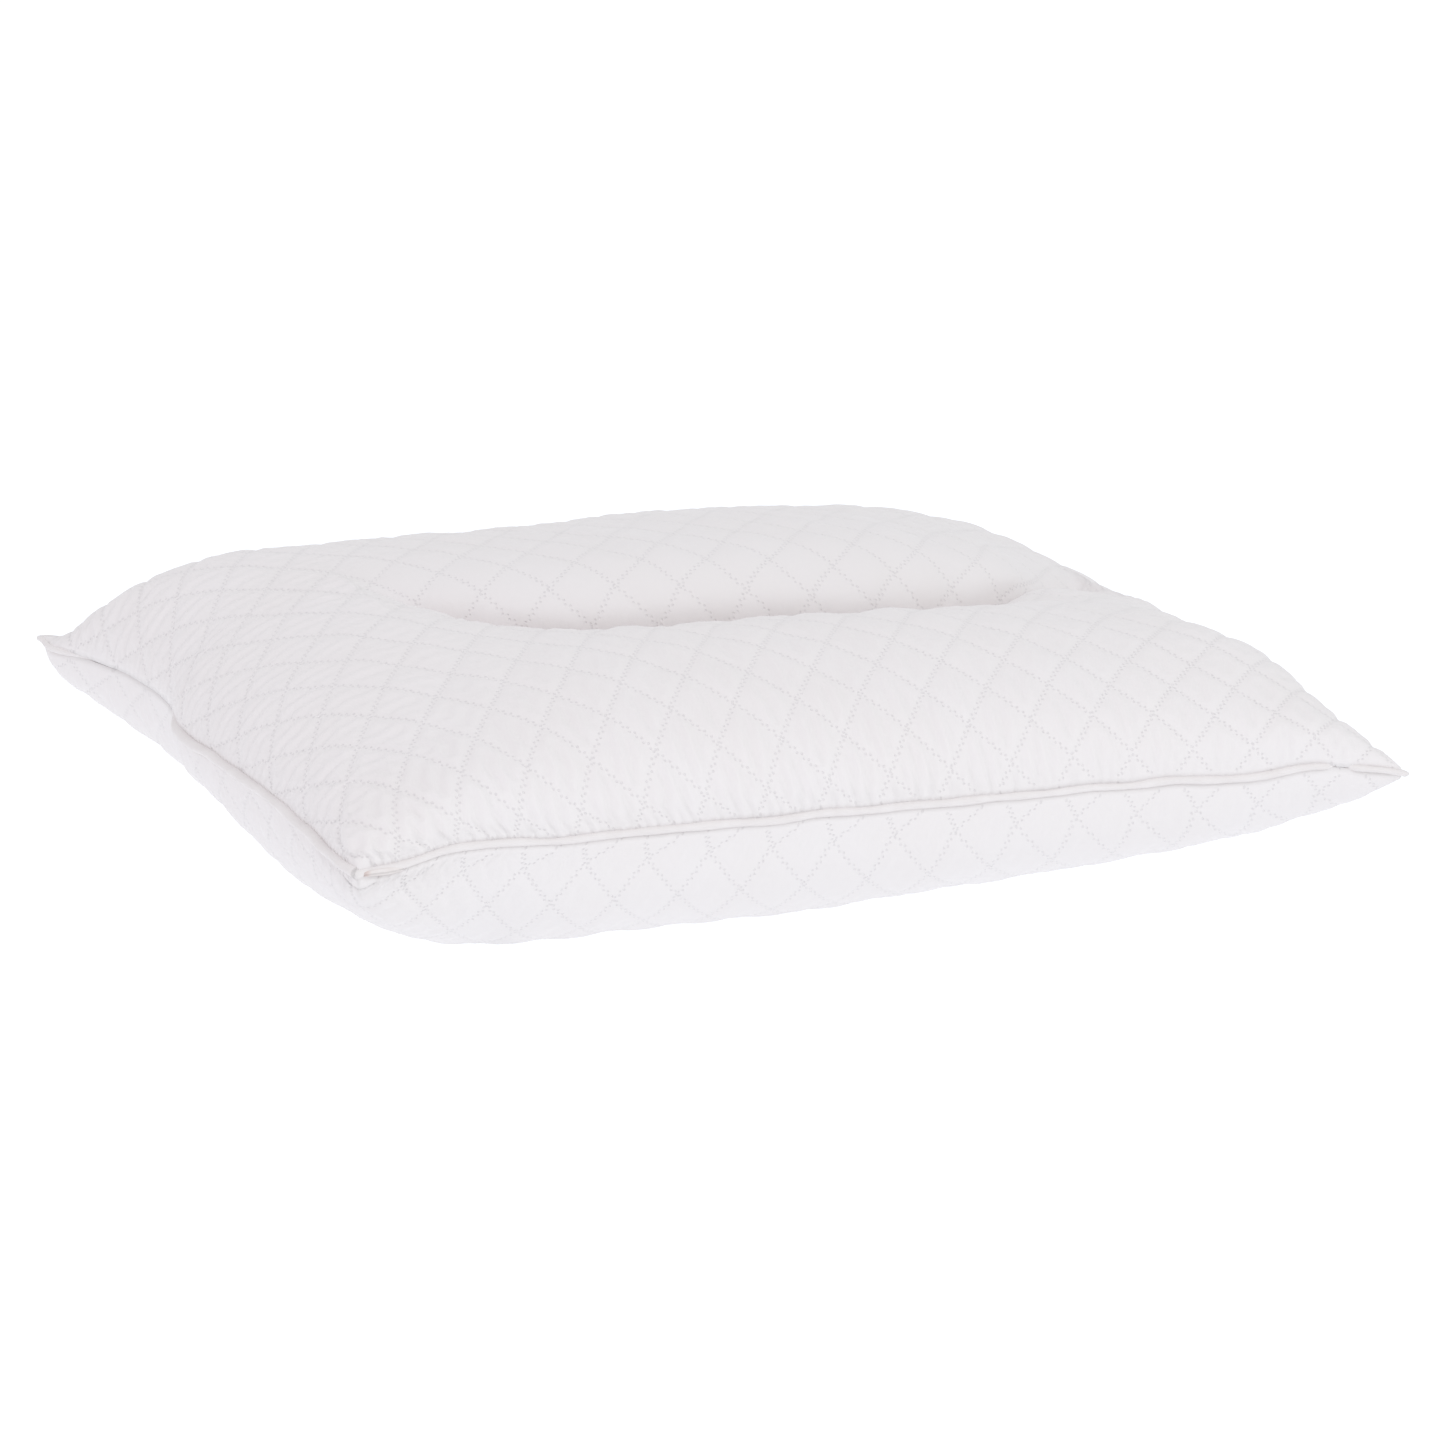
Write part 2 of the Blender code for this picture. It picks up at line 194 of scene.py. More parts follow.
def tucked(u, v):
    """1 where the panels close over the piping, 0 where it lies open."""
    left = (u < 0) * np.exp(-((np.abs(v - CLOSED_LEFT) / CLOSED_LEFT_REACH) ** 4)) * np.abs(u) ** 30
    near = (v < 0) * bump(u, CLOSED_NEAR, CLOSED_NEAR_REACH) * np.abs(v) ** 30
    return left + near


def seam_plan(u, v):
    x = u * (HALF_W - PULL_X * (1 - np.abs(v) ** EAR_POWER))
    x = x - LEFT_BULGE * left_bulge(u, v)
    y = v * (HALF_D - PULL_Y * (1 - np.abs(u) ** EAR_POWER))
    for corner, (tuck, rounding, _) in CORNERS.items():
        inward = tuck * near_corner(u, v, corner, TUCK_REACH)
        inward = inward + rounding * near_corner(u, v, corner, ROUND_REACH)
        x = x - corner[0] * inward
        y = y - corner[1] * inward
    return x, y


def seam_gap(u, v):
    """Height of the panels' edges off the seam line, which they nearly reach where they are closed."""
    return SEAM_HALF * (1 - 0.95 * tucked(u, v))


def seam_height(u, v):
    """The seam droops towards its corners, and wanders a little along each side."""
    z = SEAM_Z + SEAM_LIFT - SEAM_DROOP * (np.abs(u) * np.abs(v)) ** 5
    for rise, length, seed in SEAM_WANDERS:
        z = z + rise * waves(u * HALF_W, v * HALF_D, length, seed)
    z = z + lumps(u, v, SEAM_LUMPS)
    for place, (_, _, raised) in CORNERS.items():
        z = z + raised * near_corner(u, v, place, ROUND_REACH)
    return z


def crown(u, v, fullness, edge):
    """1 in the middle, 0 at the seam: boxier with more fullness, steeper at the seam with less edge."""
    return ((1 - np.abs(u) ** fullness[0]).clip(0) * (1 - np.abs(v) ** fullness[1]).clip(0)) ** edge


def swell(u, v):
    """The panels bulge out over the seam, so that the piping lies in a groove."""
    du, dv = (1 - np.abs(u)) * HALF_W, (1 - np.abs(v)) * HALF_D
    keep = 1 - (np.abs(u) * np.abs(v)) ** 12
    fade_u, fade_v = 1 - np.abs(u) ** 14, 1 - np.abs(v) ** 14
    x = np.sign(u) * SWELL * (du / SWELL_REACH) * np.exp(1 - du / SWELL_REACH) * fade_v * keep
    y = np.sign(v) * SWELL * (dv / SWELL_REACH) * np.exp(1 - dv / SWELL_REACH) * fade_u * keep
    return x, y


def top_shape(u, v):
    x, y = seam_plan(u, v)
    near = near_corner(u, v, NEAR_LEFT, TUCK_REACH)
    full_y = np.where(v < 0, TOP_FULL_NECK, TOP_FULL_HEAD)
    ear = near_corner(u, v, FAR_LEFT, EAR_REACH)
    edge = TOP_EDGE + TOP_EDGE_NEAR * near + TOP_EDGE_FAR * ear
    rise = CROWN * crown(u, v, (TOP_FULL_X, full_y), edge) * (TOP_SHARE + TOP_TILT * v)
    side = crease_side(x, y)
    rise = rise - CREASE_DEPTH * crease_strength(x) * valley(side)
    lumpy = lumps(u, v, TOP_LUMPS) + UNEVEN * waves(x, y, UNEVEN_SIZE, 5)
    rise = rise + lumpy * crown(u, v, (3, 3), 0.5)
    (sx, sy), (lx, ly) = swell(u, v), lean(x, side)
    return np.stack([x + sx + lx, y + sy + ly, seam_height(u, v) + seam_gap(u, v) + rise], axis=-1)


def bottom_shape(u, v):
    x, y = seam_plan(u, v)
    near = near_corner(u, v, NEAR_LEFT, TUCK_REACH)
    full = (BOTTOM_FULL, BOTTOM_FULL)
    drop = BOTTOM_DROP * crown(u, v, full, BOTTOM_EDGE + BOTTOM_EDGE_NEAR * near)
    drop = drop - lumps(u, v, BOTTOM_LUMPS) * crown(u, v, full, 0.5)
    z = np.maximum(seam_height(u, v) - seam_gap(u, v) - drop, 0.0)
    groove = FOOT_GROOVE * crease_strength(x) * bump(crease_side(x, y), 0, FOOT_SPREAD)
    sx, sy = swell(u, v)
    return np.stack([x + sx, y + sy, z + groove * (z == 0)], axis=-1)


# Cloth

CELLS_U, CELLS_V = 304, 256  # cells of each panel's outer face
COARSE = 4  # the inner face has one cell for this many outer ones, each way
STEPS = 240
CLOTH_W, CLOTH_D = 0.612, 0.512  # flat size of each panel
LATTICE_X, LATTICE_Y = 0.0350, 0.0460  # diagonals of one quilting diamond
# Each panel's place in the quilted cloth: its shift, how it is drawn askew behind the neck's seam, and
# how much shorter its diamonds get there from left to right
TOP_QUILT = ((0.0261, 0.0115), (0, 0), 1.30)
BOTTOM_QUILT = ((0.0213, 0.0122), (-0.557, -0.236), -0.711)
SKEW_START, SKEW_REACH = -0.24, 0.12  # t where that begins, and how far back it goes on
TOP_PUFF, BOTTOM_PUFF = 0.0009, 0.0005  # height of a diamond
PUFF_EDGE = 0.0055  # how fast it rises beside its weld lines
WELD_HALF = 0.0020
PANEL_T, EDGE_T = 0.0032, 0.0004  # thickness inside the panel and at its seam
FULL_T_RISE = 0.014  # height away from the seam at which a panel has its whole thickness

# Spare cloth, as shares of its length
PUCKER = 0.014  # inside each diamond
TOP_GATHER, TOP_GATHER_REACH = (0.110, 0.065), (0.055, 0.065)  # at the long and the short seams
BOTTOM_GATHER, BOTTOM_GATHER_REACH = (0.022, 0.030), (0.030, 0.040)
BACK_SHARE, RIGHT_SHARE = 0.4, 0.5  # what the head side and the right side have of that
WELD_TAUT = 0.4  # how much less than the diamonds the weld lines have
CALM_RIGHT, CALM_FROM, CALM_REACH = 0.5, 0.10, 0.04  # how much less the top has to the right of this s
LIP_SIDE, LIP_REACH, LIP_GATHER = -0.024, 0.012, (0.05, 0.03)  # on the neck roll's lip over the crease
END_REACHES, END_WIDTH, END_GATHER = (0.035, 0.03), 0.03, 0.03  # at the crease's left and right ends
NEAR_REACH, NEAR_GATHER = (0.10, 0.08), (0.035, 0.030)  # on the bottom panel's near left corner

# How firmly the wadding holds the cloth, as shares of its way back in one step
HOLD, WELD_HOLD, SEAM_HOLD = 0.006, 0.03, 0.08
SEAM_HOLD_REACH = 0.004
TAUT_SIDE, TAUT_REACH, TAUT_HOLD = 0.006, 0.018, 0.3  # in the crease, where it is laid taut
FOOT_HOLD_REACH = 0.0025
LOOSE_LEFT, LOOSE_LEFT_REACH = 0.75, 0.09  # how much the welds give near the left side, to folds

# The relaxing cloth
ROUGH, ROUGH_SIZE = 0.0004, 0.008  # the small unevenness that its folds start from
ROUGH_ALONG, ROUGH_ROUND = 0.25, 0.3  # drawn out along the folds, with this share of round lumps
MOMENTUM = 0.85  # share of a step's movement that goes on into the next one
STIFFNESS = 0.06  # against bending
THREAD_STRETCH, THREAD_SQUEEZE = 0.9, 0.8  # share of a thread's error put right in one step
BIAS_STRETCH, BIAS_SQUEEZE = 0.3, 0.15  # the same across the diagonals
MOST_MOVED = 0.006


def smoothed(d):
    """Each inner point's distance to the mean of its four neighbours."""
    out = np.zeros_like(d)
    out[1:-1, 1:-1] = (d[2:, 1:-1] + d[:-2, 1:-1] + d[1:-1, 2:] + d[1:-1, :-2]) / 4 - d[1:-1, 1:-1]
    return out


def evened(d, rounds=12):
    """The grid with its inner points moved towards their neighbours."""
    for _ in range(rounds):
        d = d + smoothed(d)
    return d


def evenly_laid(shape, rounds=3):
    """The shape's points on a grid whose lines are evenly spaced along the cloth."""
    nu, nv = CELLS_U + 1, CELLS_V + 1
    line_u, line_v = np.linspace(-1, 1, nu), np.linspace(-1, 1, nv)
    u, v = np.meshgrid(line_u, line_v, indexing="ij")
    for _ in range(rounds):
        run = np.linalg.norm(np.diff(shape(u, v), axis=0), axis=-1).cumsum(axis=0)
        share = np.concatenate([np.zeros((1, nv)), run / run[-1:]])
        u = evened(np.stack([np.interp(line_u / 2 + 0.5, share[:, j], u[:, j]) for j in range(nv)], axis=1))
        run = np.linalg.norm(np.diff(shape(u, v), axis=1), axis=-1).cumsum(axis=1)
        share = np.concatenate([np.zeros((nu, 1)), run / run[:, -1:]], axis=1)
        v = evened(np.stack([np.interp(line_v / 2 + 0.5, share[i], v[i]) for i in range(nu)]))
    return shape(u, v)


def grid_normals(p):
    """Unit normals of a grid of points, upwards where u runs to +X and v to +Y."""
    n = np.cross(np.gradient(p, axis=0), np.gradient(p, axis=1))
    return n / np.maximum(np.linalg.norm(n, axis=-1, keepdims=True), 1e-12)


def lattice(s, t):
    """Distances from cloth point (s, t) to the nearest weld line of each family."""
    pitch = 1 / math.hypot(1 / LATTICE_X, 1 / LATTICE_Y)
    a = s / LATTICE_X + t / LATTICE_Y
    b = s / LATTICE_X - t / LATTICE_Y
    return np.abs(a - np.round(a)) * pitch, np.abs(b - np.round(b)) * pitch


def in_quilt(s, t, shift, skew, shorter):
    """Where a panel's point (s, t) lies in the quilted cloth that the weld lines were made on."""
    deep = SKEW_REACH * (1 - np.exp(-np.maximum(t - SKEW_START, 0) / SKEW_REACH))
    return s + shift[0] + skew[0] * deep, t + shift[1] + (skew[1] + shorter * s) * deep


def pull(a, b, rest, stretch, squeeze):
    """Moves two sets of points towards their rest distance, each by half of what is put right."""
    d = b - a
    length = np.sqrt((d * d).sum(axis=-1, keepdims=True))
    off = (length - rest) / np.maximum(length, 1e-9)
    move = d * off * np.where(off > 0, stretch, squeeze) * 0.5
    a += move
    b -= move


def relaxed(target, normal, spare_u, spare_v, hold, seed):
    """Cloth simulation by projected distances: the threads are longer than the filling's surface by
    the spare shares, the wadding holds the cloth to the target, and what is left buckles."""
    x, y, _ = np.moveaxis(target, -1, 0)
    free = np.ones(target.shape[:2], bool)
    free[[0, -1]] = False
    free[:, [0, -1]] = False
    lengthwise = spare_v / (spare_u + spare_v)
    rough = waves(x * ROUGH_ALONG, y, ROUGH_SIZE, seed) * lengthwise
    rough = rough + waves(x, y * ROUGH_ALONG, ROUGH_SIZE, seed + 1) * (1 - lengthwise)
    rough = (rough + ROUGH_ROUND * waves(x, y, ROUGH_SIZE, seed + 2)) * free
    p = target + normal * (ROUGH * rough)[..., None]
    rest_u = np.linalg.norm(np.diff(target, axis=0), axis=-1) * (1 + (spare_u[1:] + spare_u[:-1]) / 2)
    rest_v = np.linalg.norm(np.diff(target, axis=1), axis=-1) * (1 + (spare_v[:, 1:] + spare_v[:, :-1]) / 2)
    spare = 1 + (spare_u + spare_v)[1:, 1:] / 2
    rest_a = np.linalg.norm(target[1:, 1:] - target[:-1, :-1], axis=-1) * spare
    rest_b = np.linalg.norm(target[:-1, 1:] - target[1:, :-1], axis=-1) * spare
    rest_u, rest_v, rest_a, rest_b = (rest[..., None] for rest in (rest_u, rest_v, rest_a, rest_b))
    hold = hold[..., None]
    speed = np.zeros_like(p)
    for _ in range(STEPS):
        before = p.copy()
        p += speed * MOMENTUM
        p += (target - p) * hold
        p -= smoothed(smoothed(p - target)) * STIFFNESS
        for k in (0, 1):
            pull(p[k:-1:2], p[k + 1 :: 2], rest_u[k::2], THREAD_STRETCH, THREAD_SQUEEZE)
            pull(p[:, k:-1:2], p[:, k + 1 :: 2], rest_v[:, k::2], THREAD_STRETCH, THREAD_SQUEEZE)
            pull(p[k:-1:2, :-1], p[k + 1 :: 2, 1:], rest_a[k::2], BIAS_STRETCH, BIAS_SQUEEZE)
            pull(p[k:-1:2, 1:], p[k + 1 :: 2, :-1], rest_b[k::2], BIAS_STRETCH, BIAS_SQUEEZE)
        p[~free] = target[~free]
        np.maximum(p[..., 2], 0, out=p[..., 2])
        speed = p - before
    moved = p - target
    far = np.linalg.norm(moved, axis=-1, keepdims=True)
    return target + moved * np.minimum(1, MOST_MOVED / np.maximum(far, 1e-9))


def quilted(shape, outward, spare, quilt, height, seed):
    """One panel's outer face, laid over the filling, puffed between its welds and relaxed, and each
    point's place in the quilted cloth."""
    base = evenly_laid(shape)
    s, t = np.meshgrid(
        np.linspace(-CLOTH_W / 2, CLOTH_W / 2, CELLS_U + 1),
        np.linspace(-CLOTH_D / 2, CLOTH_D / 2, CELLS_V + 1),
        indexing="ij",
    )
    quilt_s, quilt_t = in_quilt(s, t, *quilt)
    da, db = lattice(quilt_s, quilt_t)
    at_seam = np.minimum(CLOTH_W / 2 - np.abs(s), CLOTH_D / 2 - np.abs(t))
    fade = 1 - np.exp(-at_seam / SEAM_HOLD_REACH)
    puff = height * (1 - np.exp(-da / PUFF_EDGE)) * (1 - np.exp(-db / PUFF_EDGE)) * fade
    normal = grid_normals(base) * outward
    target = base + normal * puff[..., None]
    weld = np.maximum(bump(da, 0, WELD_HALF), bump(db, 0, WELD_HALF))
    weld = weld * (1 - LOOSE_LEFT * np.exp(-(s + CLOTH_W / 2) / LOOSE_LEFT_REACH))
    x, y, _ = np.moveaxis(base, -1, 0)
    spare_u, spare_v, held = spare(s, t, x, y)
    hold = np.clip(HOLD + WELD_HOLD * weld + SEAM_HOLD * (1 - fade) + held, 0, 1)
    spare_u = spare_u * (1 - WELD_TAUT * weld)
    spare_v = spare_v * (1 - WELD_TAUT * weld)
    cloth = np.stack([quilt_s, quilt_t], axis=-1)
    return relaxed(target, normal, spare_u, spare_v, hold, seed), cloth


def seam_spare(s, t, gather, reach):
    """Spare cloth along the long and the short seams, which gather it."""
    front, back = t + CLOTH_D / 2, CLOTH_D / 2 - t
    left, right = s + CLOTH_W / 2, CLOTH_W / 2 - s
    along_long = gather[0] * (np.exp(-front / reach[0]) + BACK_SHARE * np.exp(-back / reach[0]))
    along_short = gather[1] * (np.exp(-left / reach[1]) + RIGHT_SHARE * np.exp(-right / reach[1]))
    return PUCKER + along_long, PUCKER + along_short


def top_spare(s, t, x, y):
    """The top's spare cloth and hold: taut in the crease, gathered on its lip and at its ends."""
    spare_u, spare_v = seam_spare(s, t, TOP_GATHER, TOP_GATHER_REACH)
    side, strength = crease_side(x, y), crease_strength(x)
    calm = 1 - CALM_RIGHT / (1 + np.exp((CALM_FROM - s) / CALM_REACH))
    lip = bump(side, LIP_SIDE, LIP_REACH) * strength
    near_line = bump(side, 0, END_WIDTH)
    left, right = bump(x, -CREASE_LEFT, END_REACHES[0]), bump(x, CREASE_RIGHT, END_REACHES[1])
    ends = left * near_line + right * near_line
    taut = bump(side, TAUT_SIDE, TAUT_REACH) * strength
    spare_u = spare_u * (1 - taut) * calm + LIP_GATHER[0] * lip + END_GATHER * ends
    spare_v = spare_v * (1 - taut) + LIP_GATHER[1] * lip + END_GATHER * ends
    return spare_u, spare_v, TAUT_HOLD * taut


def bottom_spare(s, t, x, y):
    """The bottom's spare cloth and hold: more at the near left corner, held along the foot seam."""
    spare_u, spare_v = seam_spare(s, t, BOTTOM_GATHER, BOTTOM_GATHER_REACH)
    near = bump(s, -CLOTH_W / 2, NEAR_REACH[0]) * bump(t, -CLOTH_D / 2, NEAR_REACH[1])
    held = bump(crease_side(x, y), 0, FOOT_HOLD_REACH) * crease_strength(x)
    return spare_u + NEAR_GATHER[0] * near, spare_v + NEAR_GATHER[1] * near, held


# Meshes


def add_mesh(name, points, faces, smooth=True):
    """A mesh in the scene, made from its points and faces."""
    mesh = bpy.data.meshes.new(name)
    mesh.from_pydata(np.asarray(points, float).reshape(-1, 3).tolist(), [], faces)
    mesh.validate()
    if smooth:
        mesh.shade_smooth()
    piece = bpy.data.objects.new(name, mesh)
    bpy.context.scene.collection.objects.link(piece)
    return piece


def set_cloth(piece, coordinates):
    """Stores each point's place on the flat cloth, in metres, for the material to read."""
    flat = np.zeros((len(piece.data.vertices), 3), np.float32)
    coordinates = np.asarray(coordinates, np.float32).reshape(len(flat), -1)
    flat[:, : coordinates.shape[1]] = coordinates
    piece.data.attributes.new("cloth", "FLOAT_VECTOR", "POINT").data.foreach_set("vector", flat.ravel())


def quads(nu, nv, first=0):
    """Faces of a grid of nu by nv points, anticlockwise from above."""
    index = first + np.arange(nu * nv).reshape(nu, nv)
    corners = np.stack([index[:-1, :-1], index[1:, :-1], index[1:, 1:], index[:-1, 1:]], axis=-1)
    return corners.reshape(-1, 4)


def border(nu, nv, first=0):
    """Indices of the points round the edge of a grid, anticlockwise from above."""
    index = first + np.arange(nu * nv).reshape(nu, nv)
    return np.concatenate([index[:-1, 0], index[-1, :-1], index[:0:-1, -1], index[0, :0:-1]])


def panel(name, outer, cloth, outward, thin=0.0):
    """A closed panel: the fine outer face, a coarser inner one, and its edge between them. It is
    thinner by the share 'thin' where the crease is sewn down."""
    nu, nv = outer.shape[:2]
    inner = outer[::COARSE, ::COARSE]
    rise = np.abs(inner[..., 2] - SEAM_Z)
    thick = EDGE_T + (PANEL_T - EDGE_T) * np.clip(rise / FULL_T_RISE, 0, 1)
    pinched = bump(crease_side(inner[..., 0], inner[..., 1]), 0, 0.030) * crease_strength(inner[..., 0])
    thick = thick * (1 - thin * pinched)
    normal = grid_normals(inner) * outward
    inner = inner - normal * thick[..., None]
    mu, mv = inner.shape[:2]
    first = nu * nv
    faces = quads(nu, nv)[:, ::outward].tolist() + quads(mu, mv, first)[:, ::-outward].tolist()
    outside = border(nu, nv)
    inside = border(mu, mv, first)
    count = len(inside)
    for k in range(count):
        run = [int(outside[i % len(outside)]) for i in range(k * COARSE, (k + 1) * COARSE + 1)]
        face = [int(inside[k]), int(inside[(k + 1) % count])] + run[::-1]
        faces.append(face[::outward])
    piece = add_mesh(name, np.concatenate([outer.reshape(-1, 3), inner.reshape(-1, 3)]), faces)
    set_cloth(piece, np.concatenate([cloth.reshape(-1, 2), cloth[::COARSE, ::COARSE].reshape(-1, 2)]))
    return piece


def tube(name, path, across, profiles, cloth_v, ring=False):
    """A closed skin along a path or round a ring; each point has its own (across, upwards) profile."""
    count, sides = profiles.shape[:2]
    up = np.array([0.0, 0.0, 1.0])
    points = path[:, None] + profiles[..., :1] * across[:, None] + profiles[..., 1:] * up
    faces = []
    for i in range(count if ring else count - 1):
        after = (i + 1) % count
        for k in range(sides):
            n = (k + 1) % sides
            faces.append((i * sides + k, i * sides + n, after * sides + n, after * sides + k))
    if not ring:
        faces.append(tuple(range(sides))[::-1])
        faces.append(tuple((count - 1) * sides + k for k in range(sides)))
    piece = add_mesh(name, points, faces)
    run = np.concatenate([[0], np.linalg.norm(np.diff(path, axis=0), axis=-1).cumsum()])
    set_cloth(piece, np.stack(np.broadcast_arrays(run[:, None], cloth_v[None]), axis=-1))
    return piece


# Piping round the seam

BEAD_OUT, BEAD_HALF = 0.0034, 0.0023  # how far the tape stands out, and half its height
BEAD_IN, BEAD_HIDDEN = 0.0013, 0.0038  # how far it sits in from the seam, and further in where it is hidden
BEAD_UNEVEN, BEAD_UNEVEN_SIZE = 0.08, 0.016  # how its width wanders along the seam
BEAD_WANDER, BEAD_WANDER_SIZE = 0.0003, 0.03  # and its height
BEAD_AT_CORNERS, CORNER_REACH = 0.35, 0.1  # how much narrower it is at three corners
OPEN_OUT, OPEN_HALF = 0.6, 0.25  # how much larger it is where it lies open, at the left side's near part
FLANGE_START, FLANGE_END, FLANGE_HALF = -0.0006, -0.0050, 0.0012  # the part sewn between the panels
TAPE_W = 0.012  # width of the tape over the bead
SEAM_STEP = 0.0018  # spacing of the points along the seam

OVERLAP_START, OVERLAP_END = 0.002, 0.026  # run of the folded end along the seam
OVERLAP_OUT, OVERLAP_BULGE = 0.0012, 0.0006  # how far it stands out at its ends, and further in its middle
OVERLAP_DROP, OVERLAP_SLANT = 0.0004, 0.0006  # below the seam line at its start, and further at its end
OVERLAP_T, OVERLAP_H = 0.0008, 0.0019  # half its thickness and height
OVERLAP_TAPE_W = 0.010


def seam_loop():
    """u and v round the seam, anticlockwise from the near left corner, evenly spaced on the pillow."""
    ramp = np.linspace(-1, 1, 400, endpoint=False)
    one = np.ones_like(ramp)
    u = np.concatenate([ramp, one, -ramp, -one])
    v = np.concatenate([-one, ramp, one, -ramp])
    x, y = seam_plan(u, v)
    steps = np.hypot(np.diff(x, append=x[0]), np.diff(y, append=y[0]))
    run = np.concatenate([[0], steps.cumsum()])
    count = int(run[-1] / SEAM_STEP)
    at = np.linspace(0, run[-1], count, endpoint=False)
    turn = np.interp(at, run, np.arange(len(run)))
    whole = turn.astype(int) % len(u)
    part = turn - turn.astype(int)
    after = (whole + 1) % len(u)
    return u[whole] + (u[after] - u[whole]) * part, v[whole] + (v[after] - v[whole]) * part, at


def outward_of(path):
    """Plan normals of a closed anticlockwise path, pointing out, rounded over the corners."""
    along = np.roll(path, -3, axis=0) - np.roll(path, 3, axis=0)
    out = np.stack([along[:, 1], -along[:, 0], np.zeros(len(path))], axis=-1)
    return out / np.linalg.norm(out, axis=-1, keepdims=True)


def bead_profile(out, half):
    """Round-nosed section with a thin flange behind it, anticlockwise."""
    turn = np.linspace(-math.pi / 2, math.pi / 2, 9)
    nose = np.stack([out * np.cos(turn), half * np.sin(turn)], axis=-1)
    upper = [(FLANGE_START, FLANGE_HALF), (FLANGE_END, FLANGE_HALF)]
    lower = [(across, -up) for across, up in upper[::-1]]
    return np.concatenate([nose, upper + lower])


def seam_path():
    """Points round the seam, with the direction out of the pillow, their u and v, and the run to each."""
    u, v, run = seam_loop()
    x, y = seam_plan(u, v)
    path = np.stack([x, y, seam_height(u, v)], axis=-1)
    return path, outward_of(path), u, v, run


def piping():
    """The tape with its cord inside, sunk between the panels all round the seam."""
    path, out, u, v, run = seam_path()
    corner = sum(near_corner(u, v, place, CORNER_REACH) for place in (FAR_LEFT, NEAR_RIGHT, FAR_RIGHT))
    path = path + out * (-BEAD_IN * (1 - corner) - BEAD_HIDDEN * tucked(u, v))[:, None]
    path[:, 2] += BEAD_WANDER * waves(run, 0 * run, BEAD_WANDER_SIZE, 22)
    lies_open = (u < -0.999) * before_kink(v, OPEN_REACH)
    wide = 1 + BEAD_UNEVEN * waves(run, 0 * run, BEAD_UNEVEN_SIZE, 21)
    wide = wide * (1 - BEAD_AT_CORNERS * corner)
    outs = BEAD_OUT * wide * (1 + OPEN_OUT * lies_open)
    halves = BEAD_HALF * wide * (1 + OPEN_HALF * lies_open)
    profiles = np.stack([bead_profile(out_here, half) for out_here, half in zip(outs, halves)])
    around = np.linspace(0, TAPE_W, profiles.shape[1])
    return tube("piping_strip", path, out, profiles, around, ring=True)


def piping_overlap():
    """The tape's folded end, lapped over its start beside the near left corner."""
    path, out, _, _, run = seam_path()
    keep = (run > OVERLAP_START) & (run < OVERLAP_END)
    path, out, run = path[keep], out[keep], run[keep]
    share = (run - run[0]) / (run[-1] - run[0])
    lift = np.sin(math.pi * np.clip(share, 0.02, 0.98)) ** 0.35
    path = path + out * (OVERLAP_OUT + OVERLAP_BULGE * lift)[:, None]
    path[:, 2] -= OVERLAP_DROP + OVERLAP_SLANT * share
    turn = np.linspace(0, 2 * math.pi, 16, endpoint=False)
    boxy = np.sign(np.sin(turn)) * np.abs(np.sin(turn)) ** 0.6
    flat = np.stack([OVERLAP_T * np.cos(turn), OVERLAP_H * boxy], axis=-1)
    profiles = flat[None] * (0.35 + 0.65 * lift)[:, None, None]
    around = np.linspace(0, OVERLAP_TAPE_W, len(turn))
    return tube("piping_overlap", path, out, profiles, around)


# Inside the pillow

FILL_DEPTH = 0.0085  # filling to the panel's outer face
FILL_SHARE = 0.93  # share of the half sides that the filling reaches
FILL_TO_CREASE = 0.018  # filling to the crease line, in plan
FILL_LEAST = 0.0008  # half the filling's least thickness
FLUFF, FLUFF_SIZE = 0.0010, 0.018
FILL_CELLS_U, FILL_CELLS_V = 80, 32
WEB_HALF, HEM_HALF, HEM_HEIGHT = 0.0004, 0.0009, 0.008  # the divider's half thickness, and its hem's
DIVIDER_FREE_TOP, DIVIDER_FREE_FOOT = 0.0015, 0.0010  # from its edges to the panels' inner faces
DIVIDER_STEP = 0.004
DIVIDER_REACH, SEAM_REACH = 0.90, 0.93  # shares of the crease that the divider and its seams run along
STITCH_PITCH, STITCH, THREAD_R = 0.0032, 0.0024, 0.00035
STITCH_LIFT, STITCH_BOW = 0.0002, 0.0003  # a stitch's ends over the cloth, and its middle over its ends


def locate(x, y):
    """u and v of a plan position on the panels, by repeated correction."""
    u, v = x / HALF_W, y / HALF_D
    for _ in range(15):
        (px, py), (sx, sy) = seam_plan(u, v), swell(u, v)
        u = np.clip(u + (x - px - sx) / HALF_W, -1, 1)
        v = np.clip(v + (y - py - sy) / HALF_D, -1, 1)
    return u, v


def depth_below(shape, u, v, depth):
    """Height 'depth' away from a panel, measured square to its slope."""
    p = shape(u, v)
    step = 1e-3
    du = shape(np.clip(u + step, -1, 1), v) - p
    dv = shape(u, np.clip(v + step, -1, 1)) - p
    slope_u = du[..., 2] / np.maximum(np.abs(du[..., 0]), 1e-6)
    slope_v = dv[..., 2] / np.maximum(np.abs(dv[..., 1]), 1e-6)
    return p, depth * np.sqrt(1 + np.minimum(slope_u**2 + slope_v**2, 9))


